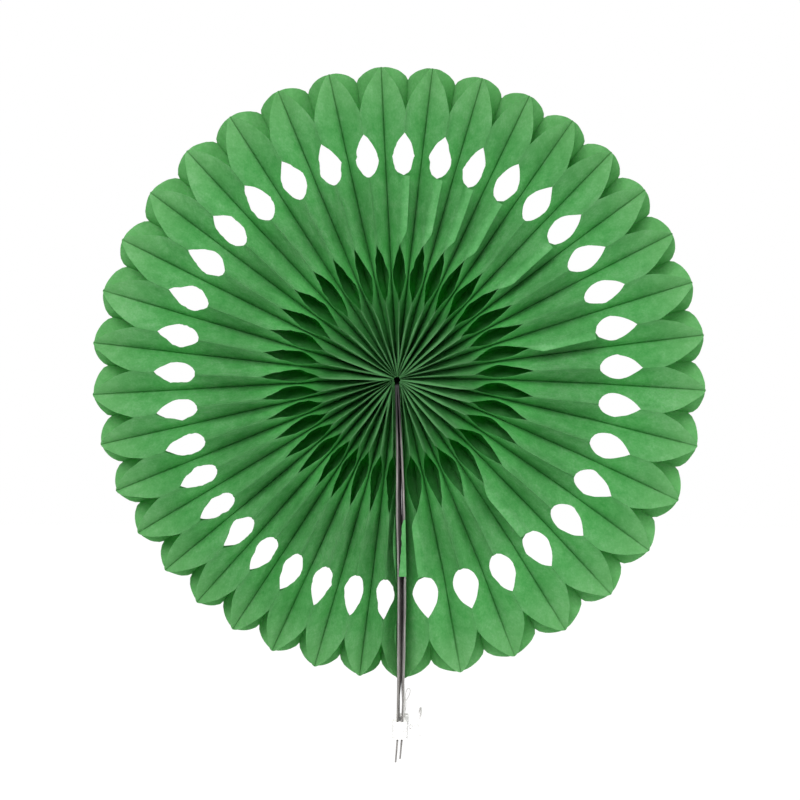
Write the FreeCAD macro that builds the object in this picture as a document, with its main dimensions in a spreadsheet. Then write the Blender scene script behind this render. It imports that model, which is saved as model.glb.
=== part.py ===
import FreeCAD, Part
import math
import os
import Sketcher
from FreeCAD import Placement, Rotation, Vector
from functools import cache

# Paper fan rosette: die-cut tissue leaves glued into a ring of honeycomb cells that
# opens full circle round its spine, between two cover cards whose tails are tied.
# The spine lies on Y, the front faces -Y, +Z is up and the card tails point down.
# Lengths are in millimetres and angles in degrees.

SIZES = {
    # leaf: one flat sheet, measured out from the spine and across from its mid line
    "cell_count": 37,
    "leaf_length": 150.0,
    "leaf_half_width": 17.0,
    "tissue_thickness": 0.06,
    "mid_glue_half": 1.2,
    "ridge_glue": 1.2,
    "ridge_fullness": 1.5,
    "spine_radius": 1.6,
    # pointed window in the front edge only
    "window_start": 36.6,
    "window_inner_length": 12.7,
    "window_outer_length": 17.1,
    "window_depth": 13.1,
    "window_inner_bulge": 2.4,
    "window_outer_bulge": 1.4,
    # petal-shaped hole in the front and the back edge
    "petal_inner_length": 8.6,
    "petal_outer_length": 13.7,
    "petal_rim_gap": 8.2,
    "petal_depth": 10.0,
    "petal_inner_bulge": 2.8,
    "petal_outer_bulge": 2.2,
    # scalloped rim
    "front_rim_rise": 21.5,
    "front_rim_bulge": 2.9,
    "back_rim_rise": 4.8,
    "back_rim_bulge": 1.2,
    # how unevenly the cells open, as shares of a mean cell
    "spread_lean": 0.14,
    "spread_ripple": 0.074,
    "spread_ripple_phase": -93.0,
    "tight_cell_share": 0.8,
    # cover cards: offsets of the centre line from the upright plane through the spine
    "card_thickness": 0.8,
    "card_side_margin": 0.3,
    "card_glue": 0.25,
    "lining_thickness": 0.12,
    "card_top": 2.5,
    "neck_drop": 170.7,
    "tail_margin": 0.5,
    "left_top_offset": -0.45,
    "left_bow": 0.8,
    "left_neck_offset": 0.2,
    "left_end_offset": -0.65,
    "left_tail_length": 11.5,
    "right_top_offset": 0.45,
    "right_bow": 2.4,
    "right_neck_offset": 2.5,
    "right_end_offset": 1.5,
    "right_tail_length": 9.8,
    # lip of the last leaf, folded over the right card's front edge
    "lip_width": 3.4,
    # thread wound round the tails, its knot and its loop
    "tie_height": 9.0,
    "tie_build": 2.1,
    "tie_clearance": 0.25,
    "tie_rounding": 1.2,
    "knot_radius": 1.5,
    "knot_set_back": 7.05,
    "thread_radius": 0.3,
}

# where the folded leaf bends between the spine and the tip, as shares of its length
BEND_SHARES = (0.06, 0.33, 0.66)
# straight pieces that each arc of the outline is folded in
ARC_PIECES = 2
PETAL_ARC_PIECES = 3
# the crowding of the cells beside the cards dies away with this power
CROWDING_POWER = 3

# The thread's loop, out from the knot to the right and back: a route chosen by hand,
# as steps from the knot's centre in X, Y and Z.
LOOP_ROUTE = [
    (1.6, -0.3, 0.4), (2.9, -1.7, 1.8), (3.9, -3.1, 3.7), (4.7, -3.7, 6.0), (5.0, -2.7, 8.3),
    (4.9, -0.5, 9.6), (4.6, 1.9, 9.2), (4.2, 3.6, 7.4), (3.8, 4.2, 5.0), (3.5, 3.6, 2.7),
    (3.5, 2.2, 0.8), (3.8, 0.4, -0.8), (4.2, -1.5, -2.2), (4.4, -3.2, -3.9),
]

# how much of the shorter run beside a corner its arc takes, and the thread's facets
RUN_SHARE = 0.45
THREAD_SIDES = 8

doc = FreeCAD.newDocument("paper_fan_rosette")
sheet = doc.addObject("Spreadsheet::Sheet", "Sizes")
for row, (name, value) in enumerate(SIZES.items(), start=1):
    sheet.set(f"A{row}", name)
    sheet.set(f"B{row}", str(value))
    sheet.setAlias(f"B{row}", name)
doc.recompute()


def size(name):
    """The value that the size sheet holds under this name."""
    return float(sheet.get(name))


class Bound:
    """An expression on the size sheet, together with its present value."""

    def __init__(self, text, value):
        self.text = text
        self.value = value

    def __add__(self, other):
        return Bound(f"({self.text} + {other.text})", self.value + other.value)

    def __sub__(self, other):
        return Bound(f"({self.text} - {other.text})", self.value - other.value)

    def __mul__(self, factor):
        return Bound(f"({self.text} * {factor})", self.value * factor)

    def __neg__(self):
        return self * -1

    def over(self, other):
        return Bound(f"({self.text} / {other.text})", self.value / other.value)

    def squared(self):
        return Bound(f"({self.text} ^ 2)", self.value ** 2)


def bound(name):
    return Bound(f"Sizes.{name}", size(name))


def new_body(label):
    body = doc.addObject("PartDesign::Body", label)
    body.Label = label
    return body


def new_sketch(body, name, role, lift=None):
    """A sketch on one of the body's origin planes, lifted along its normal."""
    sketch = body.newObject("Sketcher::SketchObject", name)
    plane = next(f for f in body.Origin.OriginFeatures if f.Role == role)
    sketch.AttachmentSupport = [(plane, "")]
    sketch.MapMode = "FlatFace"
    if lift is not None:
        sketch.setExpression("AttachmentOffset.Base.z", lift.text)
    return sketch


class Outline:
    """A closed outline of lines and arcs whose corners follow the size sheet."""

    def __init__(self, sketch, corner):
        self.sketch = sketch
        self.here = corner
        self.pieces = []

    def hold(self, *parts):
        """Add a dimension and bind it to its expression."""
        *where, value = parts
        index = self.sketch.addConstraint(Sketcher.Constraint(*where, value.value))
        self.sketch.setExpression(f"Constraints[{index}]", value.text)

    def line(self, corner):
        return self.arc(corner, None)

    def arc(self, corner, bulge, side=1):
        """Go to the next corner; a bulge on side 1 stands out to the left."""
        start, end = self.here, corner
        first = Vector(start[0].value, start[1].value, 0)
        last = Vector(end[0].value, end[1].value, 0)
        head = 1
        if bulge is None:
            index = self.sketch.addGeometry(Part.LineSegment(first, last), False)
        else:
            chord = last - first
            out = Vector(-chord.y, chord.x, 0).normalize() * side * bulge.value
            ends = [first, last]
            if side > 0:
                ends.reverse()
                head = 2
            curve = Part.ArcOfCircle(ends[0], (first + last) / 2 + out, ends[1])
            index = self.sketch.addGeometry(curve, False)
            square = (end[0] - start[0]).squared() + (end[1] - start[1]).squared()
            radius = (square * 0.25 + bulge.squared()).over(bulge * 2)
            self.hold("Radius", index, radius)
        self.pieces.append((index, head, start))
        self.here = corner
        return self

    def close(self):
        """Join the pieces end to end and place each corner by its two coordinates."""
        following = self.pieces[1:] + self.pieces[:1]
        for (index, head, _), (after, after_head, _) in zip(self.pieces, following):
            self.sketch.addConstraint(
                Sketcher.Constraint("Coincident", index, 3 - head, after, after_head))
        for index, head, corner in self.pieces:
            self.hold("DistanceX", index, head, corner[0])
            self.hold("DistanceY", index, head, corner[1])


def pad(body, sketch, length):
    """Pad a sketch to both sides of its plane by half the length."""
    feature = body.newObject("PartDesign::Pad", f"{sketch.Name}_pad")
    feature.Profile = sketch
    feature.SideType = "Symmetric"
    feature.setExpression("Length", length.text)
    return feature


def leaf_stations():
    """Where the cuts start, are widest and end: the window from the spine, the rest from the tip."""
    window_start = bound("window_start")
    window_widest = window_start + bound("window_inner_length")
    front_rim = bound("leaf_length") - bound("front_rim_rise")
    petal_end = front_rim - bound("petal_rim_gap")
    petal_widest = petal_end - bound("petal_outer_length")
    return {
        "window_start": window_start,
        "window_widest": window_widest,
        "window_end": window_widest + bound("window_outer_length"),
        "petal_start": petal_widest - bound("petal_inner_length"),
        "petal_widest": petal_widest,
        "petal_end": petal_end,
        "front_rim": front_rim,
        "back_rim": bound("leaf_length") - bound("back_rim_rise"),
    }


AT = leaf_stations()


# Leaf blank: the flat die-cut sheet before it is folded. Along X lies the distance from
# the spine, along Y the distance from the mid line, with the front edge at negative Y.
def draw_leaf():
    body = new_body("leaf_blank")
    sketch = new_sketch(body, "leaf_outline", "XY_Plane")
    across, mid = bound("leaf_half_width"), bound("mid_glue_half")
    petal_floor = across - bound("petal_depth")
    outline = Outline(sketch, (bound("spine_radius"), -across))
    outline.line((AT["window_start"], -across))
    outline.arc((AT["window_widest"], -(across - bound("window_depth"))), bound("window_inner_bulge"))
    outline.arc((AT["window_end"], -across), bound("window_outer_bulge"))
    outline.line((AT["petal_start"], -across))
    outline.arc((AT["petal_widest"], -petal_floor), bound("petal_inner_bulge"))
    outline.arc((AT["petal_end"], -across), bound("petal_outer_bulge"))
    outline.line((AT["front_rim"], -across))
    outline.arc((bound("leaf_length"), -mid), bound("front_rim_bulge"), side=-1)
    outline.line((bound("leaf_length"), mid))
    outline.arc((AT["back_rim"], across), bound("back_rim_bulge"), side=-1)
    outline.line((AT["petal_end"], across))
    outline.arc((AT["petal_widest"], petal_floor), bound("petal_outer_bulge"))
    outline.arc((AT["petal_start"], across), bound("petal_inner_bulge"))
    outline.line((bound("spine_radius"), across))
    outline.line((bound("spine_radius"), -across))
    outline.close()
    pad(body, sketch, bound("tissue_thickness"))
    doc.recompute()
    return sketch


leaf_sketch = draw_leaf()

HALF_WIDTH = size("leaf_half_width")
MID_HALF = size("mid_glue_half")
TISSUE = size("tissue_thickness")
SPINE = size("spine_radius")
TIP = size("leaf_length")
BENDS = [SPINE] + [share * TIP for share in BEND_SHARES] + [TIP]
CELLS = int(size("cell_count"))


def read_half(front):
    """One half of the leaf outline, from the spine to the tip.

    Each station is the distance from the spine, the share of the way from the mid
    glue line to the ridge, and whether the edge that follows is glued at the ridge.
    """
    curves = []
    for curve in leaf_sketch.Geometry:
        middle = curve.value((curve.FirstParameter + curve.LastParameter) / 2)
        if abs(curve.StartPoint.y) < MID_HALF + 1e-6 and abs(curve.EndPoint.y) < MID_HALF + 1e-6:
            continue
        if abs(curve.StartPoint.x - curve.EndPoint.x) > 1e-6 and (middle.y < 0) == front:
            curves.append(curve)
    stations = []
    for curve in sorted(curves, key=lambda c: min(c.StartPoint.x, c.EndPoint.x)):
        reach = sorted((curve.StartPoint.x, curve.EndPoint.x))
        if isinstance(curve, Part.LineSegment):
            ends = [reach[0]] + [b for b in BENDS if reach[0] + 1 < b < reach[1] - 1] + [reach[1]]
            stations += [(rho, 1.0, True) for rho in ends[:-1]]
            continue
        in_petal = AT["petal_start"].value - 1 < reach[0] < AT["petal_end"].value - 1
        pieces = PETAL_ARC_PIECES if in_petal else ARC_PIECES
        points = curve.toShape().discretize(pieces + 1)
        if points[0].x > points[-1].x:
            points.reverse()
        for point in points[:-1]:
            share = (abs(point.y) - MID_HALF) / (HALF_WIDTH - MID_HALF)
            stations.append((point.x, share, False))
    stations.append((TIP, 0.0, False))
    return stations


HALVES = {-1: read_half(front=True), 1: read_half(front=False)}


# Cover cards: where their centre lines run, and how the leaves beside them stand.
def card_line(side):
    """The centre line's offset from the upright plane, as a function of the drop."""
    top = Vector(size(f"{side}_top_offset"), 0, -size("card_top"))
    neck = Vector(size(f"{side}_neck_offset"), 0, size("tie_height") / 2 - size("neck_drop"))
    chord = neck - top
    crown = (top + neck) / 2 + Vector(-chord.z, 0, chord.x).normalize() * size(f"{side}_bow")
    circle = Part.ArcOfCircle(top, crown, neck)

    def offset(drop):
        below = -drop - circle.Center.z
        return circle.Center.x + math.sqrt(circle.Radius ** 2 - below ** 2)
    return offset


CARD_LINES = {side: card_line(side) for side in ("left", "right")}
LINING = size("lining_thickness")
FACE_DEPTH = size("card_thickness") / 2 + size("card_glue") + LINING


@cache
def face_angle(side, rho):
    """The angle between straight down and the first leaf on this card, at a radius."""
    out = -1 if side == "left" else 1
    offset = CARD_LINES[side](max(rho, size("card_top")))
    return math.degrees(math.asin((out * offset + FACE_DEPTH) / rho))


def spread_shares():
    """The share of the full turn that lies before each mid line, 0 to 1."""
    widths = []
    for number in range(CELLS):
        along = (number + 0.5) / CELLS
        ripple = math.cos(4 * math.pi * along - math.radians(size("spread_ripple_phase")))
        widths.append(1 + size("spread_lean") * (along - 0.5) + size("spread_ripple") * ripple)
    widths[0] *= size("tight_cell_share")
    return [sum(widths[:number]) / sum(widths) for number in range(CELLS + 1)]


SHARES = spread_shares()


@cache
def mid_line(number, rho):
    """A point of the mid line between two cells: clockwise from the left card."""
    left, right = face_angle("left", TIP), face_angle("right", TIP)
    share = SHARES[number]
    angle = 180 + left + share * (360 - left - right)
    angle += (face_angle("left", rho) - left) * (1 - share) ** CROWDING_POWER
    angle -= (face_angle("right", rho) - right) * share ** CROWDING_POWER
    turn = math.radians(angle)
    return Vector(rho * math.sin(turn), 0, rho * math.cos(turn))


class Shell:
    """Flat faces gathered into one closed solid."""

    def __init__(self):
        self.faces = []

    def face(self, *points):
        """A face through the points; repeated corners are dropped."""
        corners = []
        for point in points:
            if not corners or (point - corners[-1]).Length > 1e-7:
                corners.append(point)
        if len(corners) > 1 and (corners[0] - corners[-1]).Length < 1e-7:
            corners.pop()
        if len(corners) < 3:
            return
        normal = (corners[1] - corners[0]).cross(corners[2] - corners[0]).normalize()
        if any(abs((corner - corners[0]).dot(normal)) > 1e-7 for corner in corners[3:]):
            self.face(*corners[:3])
            self.face(corners[0], *corners[2:])
            return
        self.faces.append(Part.Face(Part.makePolygon(corners + corners[:1])))

    def solid(self):
        skin = Part.makeCompound(self.faces)
        skin.sewShape()
        solid = Part.makeSolid(skin.Shells[0])
        if solid.Volume < 0:
            solid.reverse()
        return solid


def walk(stations):
    """Triangles between the leaf's edge and its mid line, in order of radius."""
    edge, bend = 0, 0
    while edge < len(stations) - 1 or bend < len(BENDS) - 1:
        take_edge = bend == len(BENDS) - 1 or (
            edge < len(stations) - 1 and stations[edge + 1][0] <= BENDS[bend + 1])
        if take_edge:
            yield ("edge", edge), ("edge", edge + 1), ("bend", bend)
            edge += 1
        else:
            yield ("edge", edge), ("bend", bend + 1), ("bend", bend)
            bend += 1


def fold_half(shell, stations, outer, inner):
    """Add both faces of one half of a leaf, and the cut edges between them."""
    def corner(place, layer):
        kind, index = place
        rho, share = stations[index][:2] if kind == "edge" else (BENDS[index], 0.0)
        return layer(rho, share)

    for triangle in walk(stations):
        for layer in (outer, inner):
            shell.face(*[corner(place, layer) for place in triangle])
    for here, after in zip(stations, stations[1:]):
        if not here[2]:
            shell.face(outer(*here[:2]), outer(*after[:2]), inner(*after[:2]), inner(*here[:2]))
    spine = stations[0]
    shell.face(outer(SPINE, 0), outer(*spine[:2]), inner(*spine[:2]), inner(SPINE, 0))


def fold_cell(number):
    """Two leaves glued to each other along both ridges, open between their mid lines."""
    shell = Shell()

    def frame(rho):
        first, second = mid_line(number, rho), mid_line(number + 1, rho)
        gap = second - first
        half = gap.Length / 2
        return first, second, gap.normalize() * TISSUE, math.sqrt(HALF_WIDTH ** 2 - half ** 2)

    def layer(hand, front, inside):
        def point(rho, share):
            first, second, step, height = frame(rho)
            ridge = (first + second) / 2
            foot = first if hand < 0 else second
            if inside:
                foot = foot - step * hand
                slope = height / (second - first).Length * 2
                height -= min(size("ridge_glue"), size("ridge_fullness") * TISSUE * slope)
            else:
                ridge = ridge + step * hand
            depth = MID_HALF + share * (height - MID_HALF)
            return foot + (ridge - foot) * share + Vector(0, front * depth, 0)
        return point

    for front, stations in HALVES.items():
        left_out, left_in = layer(-1, front, False), layer(-1, front, True)
        right_out, right_in = layer(1, front, False), layer(1, front, True)
        fold_half(shell, stations, left_out, left_in)
        fold_half(shell, stations, right_out, right_in)
        for index, (here, after) in enumerate(zip(stations, stations[1:])):
            if here[2]:
                shell.face(left_out(here[0], 1), left_out(after[0], 1),
                           right_out(after[0], 1), right_out(here[0], 1))
            before_glued = index > 0 and stations[index - 1][2]
            if here[2] != before_glued and here[1] > 1 - 1e-9:
                shell.face(left_out(here[0], 1), left_in(here[0], 1), right_out(here[0], 1))

    for hand in (-1, 1):
        for inside in (False, True):
            front, back = layer(hand, -1, inside), layer(hand, 1, inside)
            for near, far in zip(BENDS, BENDS[1:]):
                shell.face(front(near, 0), front(far, 0), back(far, 0), back(near, 0))
        for end in (SPINE, TIP):
            shell.face(layer(hand, -1, False)(end, 0), layer(hand, 1, False)(end, 0),
                       layer(hand, 1, True)(end, 0), layer(hand, -1, True)(end, 0))
    return shell.solid()


def fold_lining(side, lipped):
    """The outermost leaf, flat on its card; the right one has a lip round the card's edge."""
    shell = Shell()
    number = 0 if side == "left" else CELLS
    inward = Vector(1 if side == "left" else -1, 0, 0)

    def layer(front, inside):
        def point(rho, share):
            depth = MID_HALF + share * (HALF_WIDTH - MID_HALF)
            foot = mid_line(number, rho) + inward * (LINING if inside else 0)
            return foot + Vector(0, front * depth, 0)
        return point

    for front, stations in HALVES.items():
        outer, inner = layer(front, False), layer(front, True)
        fold_half(shell, stations, outer, inner)
        for here, after in zip(stations, stations[1:]):
            if not here[2]:
                continue
            if lipped and front < 0 and abs(here[0] - AT["window_end"].value) < 1e-6:
                fold_lip(shell, here[0], after[0], outer, inner, inward)
            else:
                shell.face(outer(here[0], 1), outer(after[0], 1), inner(after[0], 1), inner(here[0], 1))
    for inside in (False, True):
        front, back = layer(-1, inside), layer(1, inside)
        for near, far in zip(BENDS, BENDS[1:]):
            shell.face(front(near, 0), front(far, 0), back(far, 0), back(near, 0))
    for end in (SPINE, TIP):
        shell.face(layer(-1, False)(end, 0), layer(1, False)(end, 0),
                   layer(1, True)(end, 0), layer(-1, True)(end, 0))
    return shell.solid()


def fold_lip(shell, near, far, outer, inner, inward):
    """The lip between the window and the petal hole, bent across the card's front edge."""
    thick = Vector(0, -TISSUE, 0)
    reach = inward * size("lip_width")

    def section(rho):
        bend = outer(rho, 1)
        return [bend, bend + thick, bend + thick + reach, bend + reach, inner(rho, 1)]

    start, end = section(near), section(far)
    for index in range(4):
        shell.face(start[index], start[index + 1], end[index + 1], end[index])
    shell.face(*start)
    shell.face(*end)


def add_feature(label, shape):
    feature = doc.addObject("Part::Feature", label)
    feature.Label = label
    feature.Shape = shape
    feature.Placement = Placement(Vector(0, 0, 0), Rotation())
    return feature


# Each cover card is a strip of board bowed by the pull of the leaves. The thread holds it
# upright at the neck, and its tail below runs straight to the end.
def build_card(side):
    body = new_body(f"{side}_card")
    sketch = new_sketch(body, f"{side}_card_edge", "XZ_Plane")
    half = bound("card_thickness") * 0.5
    grip = bound("tie_height") * 0.5
    top, neck = -bound("card_top"), grip - bound("neck_drop")
    tail = -(bound("neck_drop") + grip + bound("tail_margin"))
    end = tail - bound(f"{side}_tail_length")
    top_x, neck_x = bound(f"{side}_top_offset"), bound(f"{side}_neck_offset")
    end_x = bound(f"{side}_end_offset")
    bow = bound(f"{side}_bow")
    outline = Outline(sketch, (top_x - half, top))
    outline.arc((neck_x - half, neck), bow)
    outline.line((neck_x - half, tail))
    outline.line((end_x - half, end))
    outline.line((end_x + half, end))
    outline.line((neck_x + half, tail))
    outline.line((neck_x + half, neck))
    outline.arc((top_x + half, top), bow, side=-1)
    outline.line((top_x - half, top))
    outline.close()
    pad(body, sketch, (bound("leaf_half_width") - bound("card_side_margin")) * 2)
    return body


# The thread is wound round both tails at the neck: a rounded sleeve with a slot.
def build_tie():
    body = new_body("tie_winding")
    drop = -bound("neck_drop")
    half = bound("card_thickness") * 0.5
    clear = bound("tie_clearance")
    left = bound("left_neck_offset") - half - clear
    right = bound("right_neck_offset") + half + clear
    depth = bound("leaf_half_width") - bound("card_side_margin") + clear
    build = bound("tie_build")
    outside = new_sketch(body, "tie_outside", "XY_Plane", drop)
    draw_rectangle(outside, left - build, right + build, depth + build)
    sleeve = pad(body, outside, bound("tie_height"))
    doc.recompute()
    edges = [f"Edge{index}" for index, edge in enumerate(sleeve.Shape.Edges, start=1)
             if abs(edge.tangentAt(edge.FirstParameter).z) > 0.5]
    rounding = body.newObject("PartDesign::Fillet", "tie_round")
    rounding.Base = (sleeve, edges)
    rounding.setExpression("Radius", bound("tie_rounding").text)
    slot = new_sketch(body, "tie_slot", "XY_Plane", drop)
    draw_rectangle(slot, left, right, depth)
    pocket = body.newObject("PartDesign::Pocket", "tie_slot_cut")
    pocket.Profile = slot
    pocket.SideType = "Symmetric"
    pocket.Type = "ThroughAll"
    return body


def draw_rectangle(sketch, left, right, depth):
    outline = Outline(sketch, (left, -depth))
    outline.line((right, -depth)).line((right, depth)).line((left, depth)).line((left, -depth))
    outline.close()


# The knot sits on the winding's right side, towards the front.
def build_knot():
    knot = doc.addObject("Part::Sphere", "tie_knot")
    knot.Label = "tie_knot"
    half = bound("card_thickness") * 0.5
    clear, build = bound("tie_clearance"), bound("tie_build")
    front = bound("leaf_half_width") - bound("card_side_margin") + clear + build
    side = bound("right_neck_offset") + half + clear + build
    knot.setExpression("Radius", bound("knot_radius").text)
    knot.setExpression("Placement.Base.x", (side + bound("knot_radius")).text)
    knot.setExpression("Placement.Base.y", (bound("knot_set_back") - front).text)
    knot.setExpression("Placement.Base.z", (-bound("neck_drop")).text)
    return knot


def build_loop(start):
    """A tube of thread along the route, its runs joined by arcs as large as they allow."""
    points = [start + Vector(*step) for step in LOOP_ROUTE]
    radius = size("thread_radius")
    section = THREAD_SIDES / 2 * math.sin(2 * math.pi / THREAD_SIDES) * radius ** 2
    pieces, bends, length, here = [], [], 0.0, points[0]
    across = (points[1] - points[0]).cross(Vector(0, 0, 1)).normalize()

    def end_face(place, facing):
        turn = Rotation(facing, 360 / THREAD_SIDES)
        arm, corners = across * radius, []
        for _ in range(THREAD_SIDES):
            corners.append(place + arm)
            arm = turn.multVec(arm)
        return Part.Face(Part.makePolygon(corners + corners[:1]))

    for before, corner, after in zip(points, points[1:], points[2:]):
        arrive, leave = corner - before, after - corner
        turn = arrive.getAngle(leave)
        setback = RUN_SHARE * min(arrive.Length, leave.Length)
        bend = setback / math.tan(turn / 2)
        axis = arrive.cross(leave).normalize()
        enter = corner - arrive.normalize() * setback
        centre = enter + axis.cross(arrive).normalize() * bend
        pieces.append(end_face(here, arrive).extrude(enter - here))
        pieces.append(end_face(enter, arrive).revolve(centre, axis, math.degrees(turn)))
        across = Rotation(axis, math.degrees(turn)).multVec(across)
        length += (enter - here).Length + bend * turn
        bends.append(round(bend, 2))
        here = corner + leave.normalize() * setback
    pieces.append(end_face(here, points[-1] - here).extrude(points[-1] - here))
    length += (points[-1] - here).Length
    tube = pieces[0].multiFuse(pieces[1:])
    print("thread loop: length", round(length, 2), "bend radii", bends,
          "volume share", round(tube.Volume / (length * section), 4))
    return tube


parts = [add_feature(f"cell_{number + 1:02d}", fold_cell(number)) for number in range(CELLS)]
parts += [build_card("left"), build_card("right")]
parts.append(add_feature("left_lining", fold_lining("left", lipped=False)))
parts.append(add_feature("right_lining", fold_lining("right", lipped=True)))
parts += [build_tie(), build_knot()]
doc.recompute()
parts.append(add_feature("thread_loop", build_loop(parts[-1].Placement.Base)))
doc.recompute()

for item in doc.Objects:
    if "Invalid" in item.State or "Error" in item.State:
        raise RuntimeError(f"{item.Label} did not build: {item.State}")
for part in parts:
    if part.Shape.isNull() or not part.Shape.isValid() or not part.Shape.Solids:
        raise RuntimeError(f"{part.Label} has no valid solid")

os.makedirs("parts", exist_ok=True)
for part in parts:
    part.Shape.exportStep(f"parts/{part.Label}.step")
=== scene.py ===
import bpy
import math
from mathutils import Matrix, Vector, noise


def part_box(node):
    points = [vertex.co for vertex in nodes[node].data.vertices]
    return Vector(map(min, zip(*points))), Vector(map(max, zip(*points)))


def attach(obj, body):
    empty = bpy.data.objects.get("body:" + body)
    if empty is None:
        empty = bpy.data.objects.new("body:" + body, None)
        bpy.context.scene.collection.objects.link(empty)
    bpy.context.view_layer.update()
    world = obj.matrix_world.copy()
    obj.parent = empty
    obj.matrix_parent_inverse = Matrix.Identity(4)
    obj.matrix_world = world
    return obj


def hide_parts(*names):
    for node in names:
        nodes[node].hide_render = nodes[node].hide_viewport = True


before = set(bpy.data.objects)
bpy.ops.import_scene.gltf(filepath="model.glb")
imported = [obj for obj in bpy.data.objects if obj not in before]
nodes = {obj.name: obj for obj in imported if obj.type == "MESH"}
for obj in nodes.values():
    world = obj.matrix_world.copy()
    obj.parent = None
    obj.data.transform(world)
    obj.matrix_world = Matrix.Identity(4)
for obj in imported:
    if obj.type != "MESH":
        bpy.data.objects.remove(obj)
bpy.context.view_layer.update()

MM = 0.001
CELLS = sum(name.startswith("cell_") for name in nodes)

# Lengths are in metres, but for the few lists of corners that say mm, and angles are in
# radians. On a flat leaf X is the distance from the spine, and Y the distance from the mid
# line, with the front edge at negative Y.
LEAF_LENGTH = 150 * MM
HALF_WIDTH = 17 * MM
GLUE_HALF = 1.2 * MM
SPINE_RADIUS = 1.6 * MM
TISSUE = 0.05 * MM
WINDOW = (36.6 * MM, 49.3 * MM, 66.4 * MM)
WINDOW_DEPTH = 11.4 * MM
WINDOW_BULGES = (2.0 * MM, 1.2 * MM)
PETAL_FRONT = (97.6 * MM, 107.0 * MM, 118.2 * MM)
PETAL_BACK = (96.6 * MM, 108.6 * MM, 124.4 * MM)
PETAL_DEPTHS = (10.0 * MM, 12.8 * MM)
PETAL_BULGES = (3.0 * MM, 1.7 * MM)
# the rim rounds off from these distances on, with these powers of the way to the mid line
FRONT_RIM, FRONT_RIM_POWER = 128.3 * MM, 1.45
BACK_RIM, BACK_RIM_POWER = 144.5 * MM, 2.5

# the tip is cut back by this much at the mid line, over this run and width
TIP_DIP, TIP_RUN, TIP_WIDTH = 0.6 * MM, 4 * MM, 6 * MM

# how finely a leaf is divided along its length, beside a hole's end, before the tip, in
# mm, and from its mid line to each edge
STEP = 1.5 * MM
HOLE_END_STEP = STEP / 5
TIP_STEPS = (0.06, 0.2, 0.45, 0.8, 1.3, 2.0)
COLUMNS = 8

# how far the panels between mid line and ridge bow, from 0, flat, to 1: at the spine,
# at the rim, and the distances between which it changes
BOW_INSIDE, BOW_OUTSIDE = 0.85, 0.16
BOW_RUN = (18 * MM, 74 * MM)
# where the pleats crowd round the spine: up to this distance, and less over this run
CROWD_END, CROWD_RUN = 27 * MM, 13 * MM
# width of the glued seam along a ridge, at the rim, how much wider it may be where the
# pleats crowd, and of the lip that some cells have there
SEAM = 0.8 * MM
RIM_SEAM, RIM_SEAM_RUN = 0.3 * MM, 20 * MM
SPARE_SEAM, SPARE_WAVE = 0.7 * MM, 15 * MM
LIP = 3.4 * MM
# where a lip starts, is full and ends, and the numbers of the cells that have one
LIP_RUN = (63 * MM, 73 * MM, 99 * MM)
LIP_CELLS = (19, 20, 21, 22, 24, 27, 33, 36)
# angles by which a seam leans over clockwise: on average, where the pleats crowd, to
# either side, and on a lip
SEAM_LEAN, LAID_LEAN, LIP_LEAN = 0.15, 0.7, 1.2
# how much the lean wanders from cell to cell, and how much, and in what waves, along a
# seam, where the pleats crowd and at the back
LEAN_SPREAD = 0.4
LEAN_SWING, LEAN_WAVE = 0.3, 30 * MM
LAID_SWING, LAID_WAVE = 0.3, 12 * MM
BACK_SWING, BACK_WAVE = 0.4, 40 * MM
# the share of the lean that is left at the spine, and the run over which it grows to full
SPINE_LEAN, SPINE_LEAN_RUN = 0.4, 12 * MM
# the front holes' ragged edges: how far they stray, the share of that on the right half,
# how much narrower than that a petal hole is, and the lengths of their waves
STRAY, RIGHT_STRAY, NARROWER = 0.75 * MM, 0.3, 0.9
STRAY_WAVES = (4 * MM, 1.6 * MM)
# light crumple of the panels, its waves along and across, and the sway of whole ridges
CRUMPLE = 0.65 * MM
CRUMPLE_WAVES = ((16 * MM, 9 * MM), (7 * MM, 5 * MM))
SWAY, SWAY_WAVE = 0.6 * MM, 45 * MM
# crumple and sway need at least these half gaps between the mid lines to be full
CRUMPLE_ROOM, SWAY_ROOM = 2 * MM, 3 * MM
# how much of the way to the spine's middle the leaves' back corners are drawn in, and the
# depth and distance over which that changes
DRAWN_IN, DRAWN_DEPTH, DRAWN_RUN = 0.97, 12 * MM, 4 * MM


def clamp(value, low=0.0, high=1.0):
    return max(low, min(high, value))


def smooth(value):
    """0 to 1 with level ends."""
    value = clamp(value)
    return value * value * (3 - 2 * value)


def bell(x, middle, half_width):
    """1 at the middle, falling off to both sides."""
    return math.exp(-((x - middle) / half_width) ** 2)


def waves(*place):
    """Smooth noise with waves about one long, the same on every run."""
    return noise.noise(Vector(place))


def deselect():
    bpy.ops.object.select_all(action="DESELECT")


def select(*pieces):
    """Select these pieces alone, with the first one active."""
    deselect()
    for piece in pieces:
        piece.select_set(True)
    bpy.context.view_layer.objects.active = pieces[0]


def new_object(name, data):
    item = bpy.data.objects.new(name, data)
    bpy.context.scene.collection.objects.link(item)
    return item


def new_grid(name, rows, columns):
    """A square grid from -1 to 1, with its rows along X."""
    deselect()
    bpy.ops.mesh.primitive_grid_add(x_subdivisions=rows, y_subdivisions=columns, size=2)
    grid = bpy.context.object
    grid.name = name
    return grid


def thicken(piece, thickness):
    """A modifier that gives a sheet its thickness, half to each side."""
    thick = piece.modifiers.new("thickness", "SOLIDIFY")
    thick.thickness = thickness
    thick.offset = 0


def apply_modifiers(piece):
    select(piece)
    for modifier in list(piece.modifiers):
        bpy.ops.object.modifier_apply(modifier=modifier.name)


def shade_smooth(piece, degrees):
    """Smooth shading, but for edges sharper than the angle."""
    select(piece)
    bpy.ops.object.shade_smooth_by_angle(angle=math.radians(degrees))


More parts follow.
